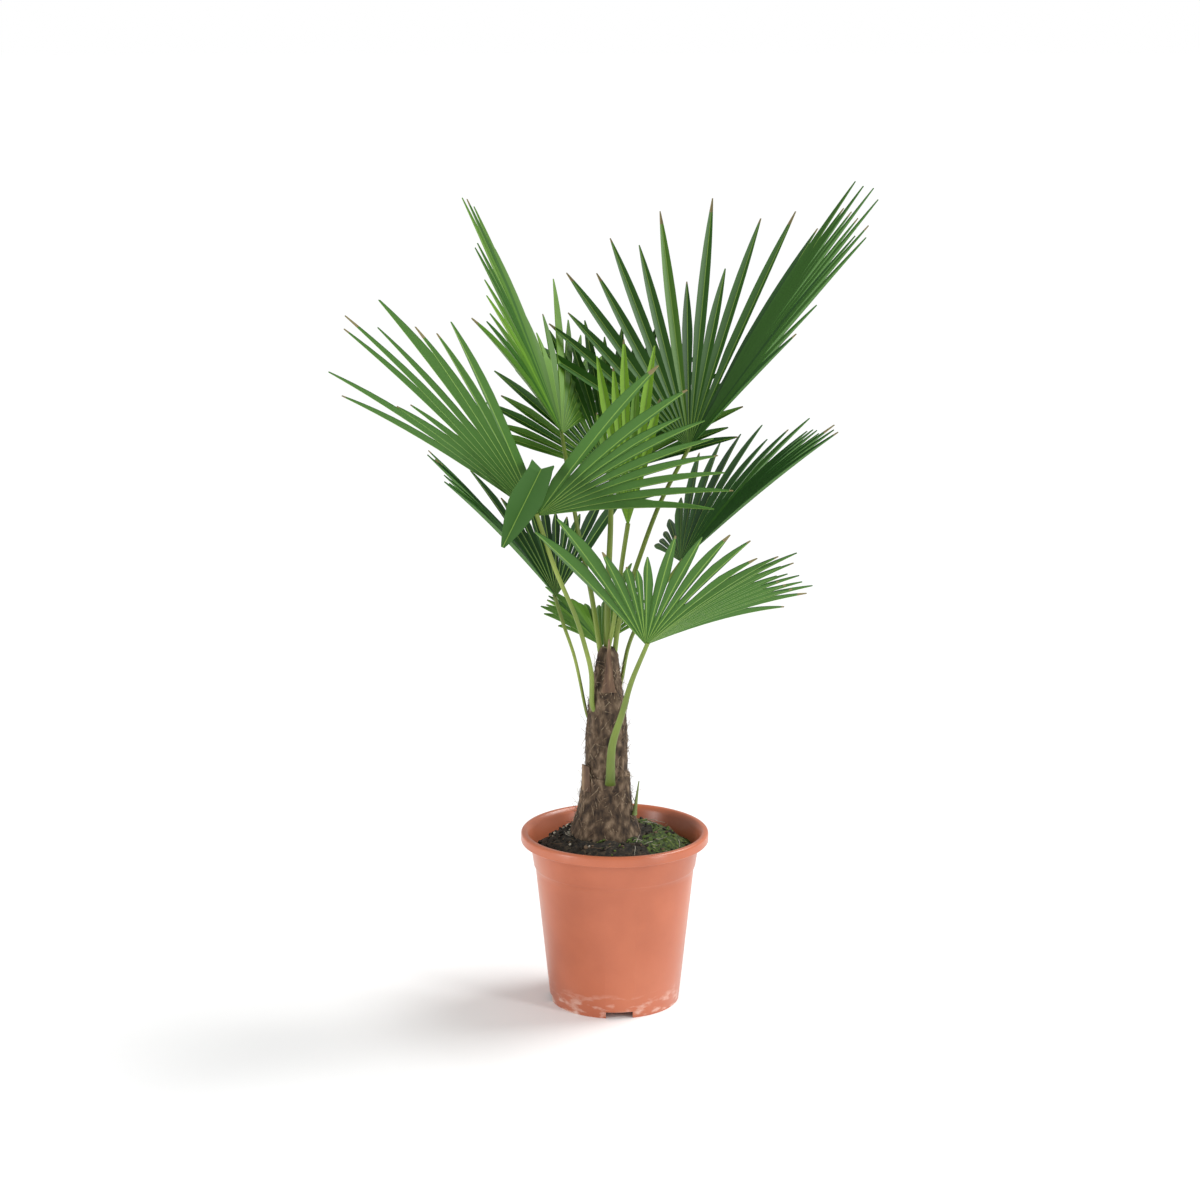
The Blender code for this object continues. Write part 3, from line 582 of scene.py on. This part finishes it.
# %% Schedules of the small and hidden fronds
SMALL_FRONDS = {
    "mid_right": {
        "hub": (0.073, 0.030, 0.497), "heading": 35, "lift": 40, "roll": 15, "fold": 10, "droop": 0.18,
        "stalk": ((0.0083, 0.0096, 0.372), (0.015, 0.013, 0.405), (0.028, 0.018, 0.434),
                  (0.052, 0.025, 0.468)),
        "stalk_wide": (0.0029, 0.0024), "tint": 1,
        "leaflets": leaflets((-73, 0.085), (-56, 0.120), (-48, 0.155), (-42, 0.245), (-35, 0.245),
                             (-28, 0.245), (-21, 0.250), (-8, 0.230), (-3, 0.250), (32, 0.240),
                             (37, 0.240), (43, 0.250))},
    "low_left": {
        "hub": (-0.065, 0.010, 0.462), "heading": 133, "lift": 35, "roll": -13, "fold": 28, "droop": 0.17,
        "stalk": ((-0.0322, 0.001, 0.335), (-0.044, 0.005, 0.392), (-0.057, 0.009, 0.431)),
        "stalk_wide": (0.0018, 0.0017), "tint": 1,
        "leaflets": leaflets((-78, 0.275), (-60, 0.250), (-25, 0.225), (7, 0.220), (16, 0.150),
                             (28, 0.160), (45, 0.145), (51, 0.195), (57, 0.230))},
    "new_centre": {
        "hub": (0.014, -0.010, 0.544), "heading": 80, "lift": 80, "roll": 0, "fold": 10, "droop": 0.05,
        "stalk": ((-0.0075, -0.0058, 0.4035), (-0.001, -0.008, 0.440), (0.008, -0.009, 0.507)),
        "stalk_wide": (0.0020, 0.0016), "tint": 5,
        "leaflets": leaflets((-17, 0.130), (-12, 0.190), (-7, 0.175), (-3, 0.205), (2, 0.165),
                             (7, 0.200), (13, 0.145))},
    "small_back": {
        "hub": (-0.015, 0.040, 0.399), "heading": 105, "lift": 30, "roll": 0, "fold": 35, "droop": 0.28,
        "stalk": ((-0.013, 0.0212, 0.353), (-0.015, 0.030, 0.379)),
        "stalk_wide": (0.0020, 0.0018), "tint": 3,
        "leaflets": leaflets((-83, 0.065), (-76, 0.085), (-69, 0.090), (-40, 0.100), (0, 0.085),
                             (18, 0.075), (32, 0.130), (60, 0.080), (76, 0.045))},
    "back": {
        "hub": (-0.004, 0.055, 0.590), "heading": 84, "lift": 52, "roll": 0, "fold": 12, "droop": 0.15,
        "stalk": ((-0.0085, 0.0065, 0.4035), (-0.008, 0.014, 0.463), (-0.005, 0.030, 0.533)),
        "stalk_wide": (0.0055, 0.0028), "tint": 2,
        "leaflets": leaflets((-72, 0.150), (-60, 0.170), (-48, 0.190), (-36, 0.200), (-24, 0.205),
                             (-12, 0.210), (0, 0.205), (12, 0.210), (24, 0.200), (36, 0.200),
                             (48, 0.190), (60, 0.170), (72, 0.150))},
}
FRONDS = LARGE_FRONDS | SMALL_FRONDS
scheduled = sum(len(frond["leaflets"]) for frond in FRONDS.values())
print("fronds:", len(FRONDS), "scheduled leaflets:", scheduled)

# %% [markdown]
# ## The fan's rule
# The rule is the solids' own, with more stations along each leaflet, a thin blade, a pointed tip and extra
# leaflets wherever two bearings lie far apart. A flat fan that is bent afterwards would be simpler, but its
# tips would then miss the places that the schedules give. So each rib is worked out from hub to tip.

# %% Where the ribs run
WIDEST_STEP = 8.5                       # degrees between neighbours, past which one more grows between
FILLED_REACH = 0.9                      # how far such a leaflet reaches beside its neighbours
HUB_RING = 0.008
WEB_RINGS = (0.09, 0.17, 0.255, 0.34)   # rings of the joined web, as shares of the longest reach
DROOP_POWER = 2.2                       # above 1, a leaflet droops mostly near its tip


def filled(schedule):
    """Leaflets in order of bearing, with more of them in the wide gaps."""
    schedule = sorted(schedule, key=lambda item: item["bearing"])
    whole = schedule[:1]
    for item in schedule[1:]:
        last = whole[-1]
        extra = 0 if item["bend"] or last["bend"] else int((item["bearing"] - last["bearing"]) / WIDEST_STEP)
        for index in range(extra):
            share = (index + 1) / (extra + 1)
            bearing = last["bearing"] + share * (item["bearing"] - last["bearing"])
            reach = last["reach"] + share * (item["reach"] - last["reach"])
            whole.append(leaflet(bearing, FILLED_REACH * reach))
        whole.append(item)
    return whole


class Fan:
    """A frond's plane, its leaflets and where their ribs run."""

    def __init__(self, frond):
        heading, lift, roll = (math.radians(frond[key]) for key in ("heading", "lift", "roll"))
        self.hub = Vector(frond["hub"])
        self.axis = Vector((math.cos(lift) * math.cos(heading), math.cos(lift) * math.sin(heading),
                            math.sin(lift)))
        level = Vector((math.sin(heading), -math.cos(heading), 0.0))
        normal = level.cross(self.axis)
        self.side = math.cos(roll) * level + math.sin(roll) * normal
        self.normal = math.cos(roll) * normal - math.sin(roll) * level
        self.fold = math.radians(frond["fold"])
        self.droop = frond["droop"]
        self.items = filled(frond["leaflets"])
        longest = max(item["reach"] for item in self.items)
        self.rings = [HUB_RING] + [share * longest for share in WEB_RINGS]

    def direction(self, bearing):
        """Way in which a leaflet leaves the hub."""
        angle = math.radians(bearing)
        flat = math.cos(angle) * self.axis + math.sin(angle) * math.cos(self.fold) * self.side
        return flat + abs(math.sin(angle)) * math.sin(self.fold) * self.normal

    def rib(self, item, radius):
        """Point on a leaflet's rib at a distance from the hub."""
        bend = item["bend"]
        straight = min(radius, bend[0]) if bend else radius
        way = self.direction(item["bearing"])
        drop = 0.5 * self.droop * math.hypot(way.x, way.y) * item["reach"]
        point = self.hub + straight * way - Vector((0, 0, drop * (straight / item["reach"]) ** DROOP_POWER))
        if bend and radius > bend[0]:
            point += (radius - bend[0]) * Vector(bend[1]).normalized()
        return point

# %% [markdown]
# A leaflet is a shallow V about its rib, so its two edges stand a little above it. Near the hub neighbours
# share one edge, which is the crest of the pleat between them. Further out they part and each tapers to its
# own tip. Where they part depends on how close they stand, because on the real plant it varies too.

# %% Where the edges run
PLEAT = 0.62                            # rise of the edges over the rib for each metre of half width
USUAL_STEP, FAR_STEP = 9.0, 17          # degrees between neighbours
WEB_ROWS, SHORT_WEB_ROWS, HUB_ROWS = 5, 3, 1
LONG = 1.35                             # a leaflet is long past this many times the outer web ring
FREE_STATIONS = (0.12, 0.26, 0.4, 0.54, 0.68, 0.8, 0.9, 0.96, 1.0)
BEND_STATIONS = (-0.012, -0.004, 0.0, 0.004, 0.012)
TAPER_FROM, TAPER_DEPTH = 0.55, 0.90
LOOK_AHEAD = 0.004
FULL_LEAN = 25.0                        # bearing in degrees from which a leaflet follows its half's slope


def facing(fan, item, radius):
    """Directions up from a leaflet's rib and across it."""
    ahead = fan.rib(item, radius + LOOK_AHEAD) - fan.rib(item, max(radius - LOOK_AHEAD, 0))
    ahead = ahead.normalized()
    lean = max(-1.0, min(1.0, item["bearing"] / FULL_LEAN)) * math.tan(fan.fold)
    upright = fan.normal - lean * fan.side
    if item["bend"]:
        across = fan.direction(item["bearing"]).cross(upright).normalized()
        across = (across - ahead * across.dot(ahead)).normalized()
        return across.cross(ahead), across
    upright = (upright - ahead * upright.dot(ahead)).normalized()
    return upright, ahead.cross(upright)


def is_long(fan, item):
    """Whether a leaflet reaches well past the joined web."""
    return item["reach"] > LONG * fan.rings[-1]


def stations(fan, item):
    """Distances from the hub at which a leaflet has a row of points."""
    rings = fan.rings if is_long(fan, item) else fan.rings[:3]
    if item["bend"]:
        rings = fan.rings[:3] + [item["bend"][0] + step for step in BEND_STATIONS]
    rest = item["reach"] - rings[-1]
    return [0.0] + rings + [rings[-1] + share * rest for share in FREE_STATIONS]


def joined_rows(fan, first, second):
    """How many rows out from the hub two neighbours share an edge."""
    step = second["bearing"] - first["bearing"]
    plain_pair = is_long(fan, first) and is_long(fan, second) and not first["bend"] and not second["bend"]
    if step < USUAL_STEP and plain_pair and int(first["bearing"]) % 3:
        return WEB_ROWS
    return SHORT_WEB_ROWS if step < FAR_STEP else HUB_ROWS


def half_width(item, radius, step):
    """Half of a leaflet's width where it stands free, and never past the middle to its neighbour."""
    share = radius / item["reach"]
    taper = 1.0 - TAPER_DEPTH * max(0.0, (share - TAPER_FROM) / (1.0 - TAPER_FROM)) ** 2
    return min(item["half_wide"] * taper, 0.92 * radius * math.sin(math.radians(step / 2)))


def edge(fan, index, side, row):
    """Point on a leaflet's edge in one row, and the direction up from it."""
    item = fan.items[index]
    radius = stations(fan, item)[row]
    has_neighbour = 0 <= index + side < len(fan.items)
    step = USUAL_STEP
    if has_neighbour:
        neighbour = fan.items[index + side]
        step = abs(neighbour["bearing"] - item["bearing"])
        first, second = (item, neighbour) if side > 0 else (neighbour, item)
        if row <= joined_rows(fan, first, second):
            middle = 0.5 * (fan.rib(first, radius) + fan.rib(second, radius))
            upright = (facing(fan, first, radius)[0] + facing(fan, second, radius)[0]).normalized()
            crest = PLEAT * min(radius * math.sin(math.radians(step / 2)), HALF_WIDE)
            return middle + crest * upright, upright
    upright, across = facing(fan, item, radius)
    half = half_width(item, radius, step)
    return fan.rib(item, radius) + side * half * across + PLEAT * half * upright, upright

# %% [markdown]
# ## Leaf colours
# Tints are dealt out leaflet by leaflet round the frond's own green. The underside is paler, the rib is a
# pale line, and the last few millimetres of some leaflets are dry. One picture over the whole fan could hold
# all that, but plain materials on separate strips of faces stay sharp at any distance.

# %% Leaf colours
GREENS = [(0.010, 0.050, 0.008), (0.020, 0.082, 0.011), (0.036, 0.120, 0.013), (0.080, 0.195, 0.020),
          (0.13, 0.28, 0.026), (0.21, 0.40, 0.030)]
UNDER, RIB, DRY = 6, 7, 8
PALEST_GREEN = len(GREENS) - 1
LEAF_SHEEN = 0.25

leaf_looks = [plain("leaf green " + str(index), colour, 0.50) for index, colour in enumerate(GREENS)]
leaf_looks += [plain("leaf underside", (0.055, 0.150, 0.022), 0.60),
               plain("leaf rib", (0.20, 0.34, 0.06), 0.5), plain("dry tip", (0.20, 0.17, 0.075), 0.8)]
for look in leaf_looks:
    look.node_tree.nodes["Principled BSDF"].inputs["Specular IOR Level"].default_value = LEAF_SHEEN
print("leaf materials:", len(leaf_looks))

# %% [markdown]
# ## Blades
# A leaflet is one narrow grid of three columns of faces, and the middle column is its rib. The grids are bent
# to the rule and welded at the shared edges. The whole sheet is then extruded once, and each new point moves
# by a vector that was stored with it, so the fan ends as one thin closed blade.

# %% Build the fronds
THICK = 0.0008
COLUMNS = 3
RIB_HALF_WIDE = 0.00045


def set_leaflet(bm, fan, index, rows, grow):
    """Add one leaflet's grid and give the column and row of each of its points."""
    item = fan.items[index]
    grid = bmesh.ops.create_grid(bm, x_segments=COLUMNS, y_segments=len(rows) - 1, size=1.0)["verts"]
    where = {}
    for vert in grid:
        where[vert] = (round((vert.co.x + 1) / 2 * COLUMNS), round((vert.co.y + 1) / 2 * (len(rows) - 1)))
    for vert, (column, row) in where.items():
        side = 1 if column > 1 else -1
        if row == 0:
            spot, upright = fan.hub.copy(), fan.normal
        elif column in (0, COLUMNS):
            spot, upright = edge(fan, index, side, row)
        else:
            upright, across = facing(fan, item, rows[row])
            half = half_width(item, rows[row], USUAL_STEP)
            spot = fan.rib(item, rows[row]) + side * min(RIB_HALF_WIDE, 0.2 * half) * across
        vert.co = spot - 0.5 * THICK * upright
        vert[grow] = THICK * upright
    return where


def build_blade(frond, rng):
    """One frond's fan as a closed blade with its tints."""
    fan = Fan(frond)
    bm = bmesh.new()
    grow = bm.verts.layers.float_vector.new("grow")
    for index, item in enumerate(fan.items):
        rows = stations(fan, item)
        tint = max(0, min(PALEST_GREEN, frond["tint"] + rng.choice((-1, 0, 0, 0, 1))))
        dry_from = len(rows) - 1 - rng.choice((0, 0, 0, 0, 1, 1, 2))
        before = len(bm.faces)
        where = set_leaflet(bm, fan, index, rows, grow)
        for face in faces_since(bm, before):
            columns = {where[vert][0] for vert in face.verts}
            face.material_index = RIB if columns == {1, 2} else tint
            if max(where[vert][1] for vert in face.verts) > dry_from:
                face.material_index = DRY
    bmesh.ops.remove_doubles(bm, verts=bm.verts, dist=1e-5)
    under = set(bm.faces)
    grown = bmesh.ops.extrude_face_region(bm, geom=bm.faces[:])["geom"]
    for vert in (thing for thing in grown if isinstance(thing, bmesh.types.BMVert)):
        vert.co += vert[grow]
    for face in under:
        if face.material_index < UNDER:
            paler = min(PALEST_GREEN, face.material_index + 1)
            face.material_index = UNDER if frond["tint"] < 3 else paler
    return bm


rng = random.Random(29)
for name, frond in FRONDS.items():
    finish("frond_visual_" + name, build_blade(frond, rng), leaf_looks, ["frond_" + name], 25)

# %% [markdown]
# ## Leaf stalks
# A stalk is wide and flat where it clasps the trunk and nearly round at the fan. It is a limb whose width
# turns on the way, from round the trunk to across the fan. It starts inside the fibre and ends in the hub,
# so that neither end shows a gap.

# %% Leaf stalks
CROWN_X = -0.0085                       # the trunk's axis in the crown
TRUNK_TOP = 0.40                        # stalks that start above it grow from the tip and not from the side
ROOT_INWARD, ROOT_DOWN, INTO_HUB = 0.15, 0.010, 0.004
FAN_END_WIDE, FAN_END_THICK = 0.0026, 0.0018

stalk_green = mottled("stalk green", [(0.085, 0.125, 0.018), (0.17, 0.24, 0.032), (0.30, 0.38, 0.07)],
                      14.0, 0.45, 0.0, (1, 1, 0.4))
for name, frond in FRONDS.items():
    fan = Fan(frond)
    start = Vector(frond["stalk"][0])
    inward = Vector((CROWN_X - start.x, -start.y, 0))
    around = Vector((inward.y, -inward.x, 0)).normalized() if start.z < TRUNK_TOP else Vector((1, 0, 0))
    if around.dot(fan.side) < 0:
        around = -around
    root = start + ROOT_INWARD * inward - Vector((0, 0, ROOT_DOWN))
    wide, thick = frond["stalk_wide"]
    path = smooth_path([root, *frond["stalk"], fan.hub + INTO_HUB * fan.axis], 6)
    bm = bmesh.new()
    add_limb(bm, along_path(path, (around, fan.side), (wide, FAN_END_WIDE), (thick, FAN_END_THICK)), 16)
    finish("stalk_visual_" + name, bm, [stalk_green], ["stalk_" + name])

# %% [markdown]
# ## Floor and sky
# The plant stands on a wide pale floor under a white sky. A sky strong enough to look white would wash out
# the shadow, so it lights the scene at half strength and only the camera sees it in full.

# %% Floor and sky
FLOOR_SIZE = 60.0
SKY_LIGHT = 0.50                        # what lights the plant and the floor
SKY_SEEN = 1.0                          # the strip of backdrop over the floor's far edge

bm = bmesh.new()
bmesh.ops.create_grid(bm, x_segments=1, y_segments=1, size=FLOOR_SIZE)
floor_mesh = bpy.data.meshes.new("floor")
bm.to_mesh(floor_mesh)
bm.free()
floor_mesh.materials.append(plain("pale floor", (0.93, 0.93, 0.93), 0.9))
floor = bpy.data.objects.new("floor", floor_mesh)
bpy.context.collection.objects.link(floor)

world = bpy.data.worlds.new("studio")
world.use_nodes = True
sky = world.node_tree.nodes["Background"]
sky.inputs["Color"].default_value = (1.0, 1.0, 1.0, 1.0)
rays = world.node_tree.nodes.new("ShaderNodeLightPath")
strength = world.node_tree.nodes.new("ShaderNodeMapRange")
strength.inputs["To Min"].default_value = SKY_LIGHT
strength.inputs["To Max"].default_value = SKY_SEEN
world.node_tree.links.new(rays.outputs["Is Camera Ray"], strength.inputs["Value"])
world.node_tree.links.new(strength.outputs["Result"], sky.inputs["Strength"])
bpy.context.scene.world = world
bpy.context.scene.view_settings.view_transform = "Standard"
print("sky lights at", SKY_LIGHT, "and shows at", SKY_SEEN)

# %% [markdown]
# ## Lights
# A broad sun from behind on the right lays the soft shadow to the left. Two tall strips of light, one on each
# side, put the narrow highlights on the pot's round wall.

# %% Lights
SUN_ENERGY, SUN_SPREAD = 2.4, 32
SUN_FROM = (0.75, 0.30, 1.1)
STRIP_WIDE, STRIP_HIGH = 0.35, 1.6
MID_PLANT = (0, 0, 0.45)


def strip_light(name, place, energy):
    """Tall light that faces the middle of the plant."""
    data = bpy.data.lights.new(name, "AREA")
    data.shape = "RECTANGLE"
    data.size = STRIP_WIDE
    data.size_y = STRIP_HIGH
    data.energy = energy
    lamp = bpy.data.objects.new(name, data)
    lamp.location = place
    lamp.rotation_euler = (Vector(MID_PLANT) - Vector(place)).to_track_quat("-Z", "Y").to_euler()
    bpy.context.collection.objects.link(lamp)


sun_data = bpy.data.lights.new("key", "SUN")
sun_data.energy = SUN_ENERGY
sun_data.angle = math.radians(SUN_SPREAD)
sun = bpy.data.objects.new("key", sun_data)
sun.rotation_euler = Vector(SUN_FROM).to_track_quat("Z", "Y").to_euler()
bpy.context.collection.objects.link(sun)
strip_light("left", (-1.7, -1.0, 0.8), 16)
strip_light("right", (1.6, -1.2, 0.8), 18)
print("lights:", len(bpy.data.lights))

# %% [markdown]
# ## Camera
# The camera stands where the pot's two ellipses look as round as in the photograph: nearly three metres off,
# a little over the plant's top and tilted down.

# %% Camera
CAMERA_PLACE = (-0.0165, -2.902, 1.100)
CAMERA_TILT = 77.57                     # degrees up from straight down

camera_data = bpy.data.cameras.new("camera")
camera_data.lens = 81
camera_data.sensor_width = 36
camera = bpy.data.objects.new("camera", camera_data)
camera.location = CAMERA_PLACE
camera.rotation_euler = (math.radians(CAMERA_TILT), 0, 0)
bpy.context.collection.objects.link(camera)
bpy.context.scene.camera = camera
print("camera at", CAMERA_PLACE, "tilt", CAMERA_TILT)
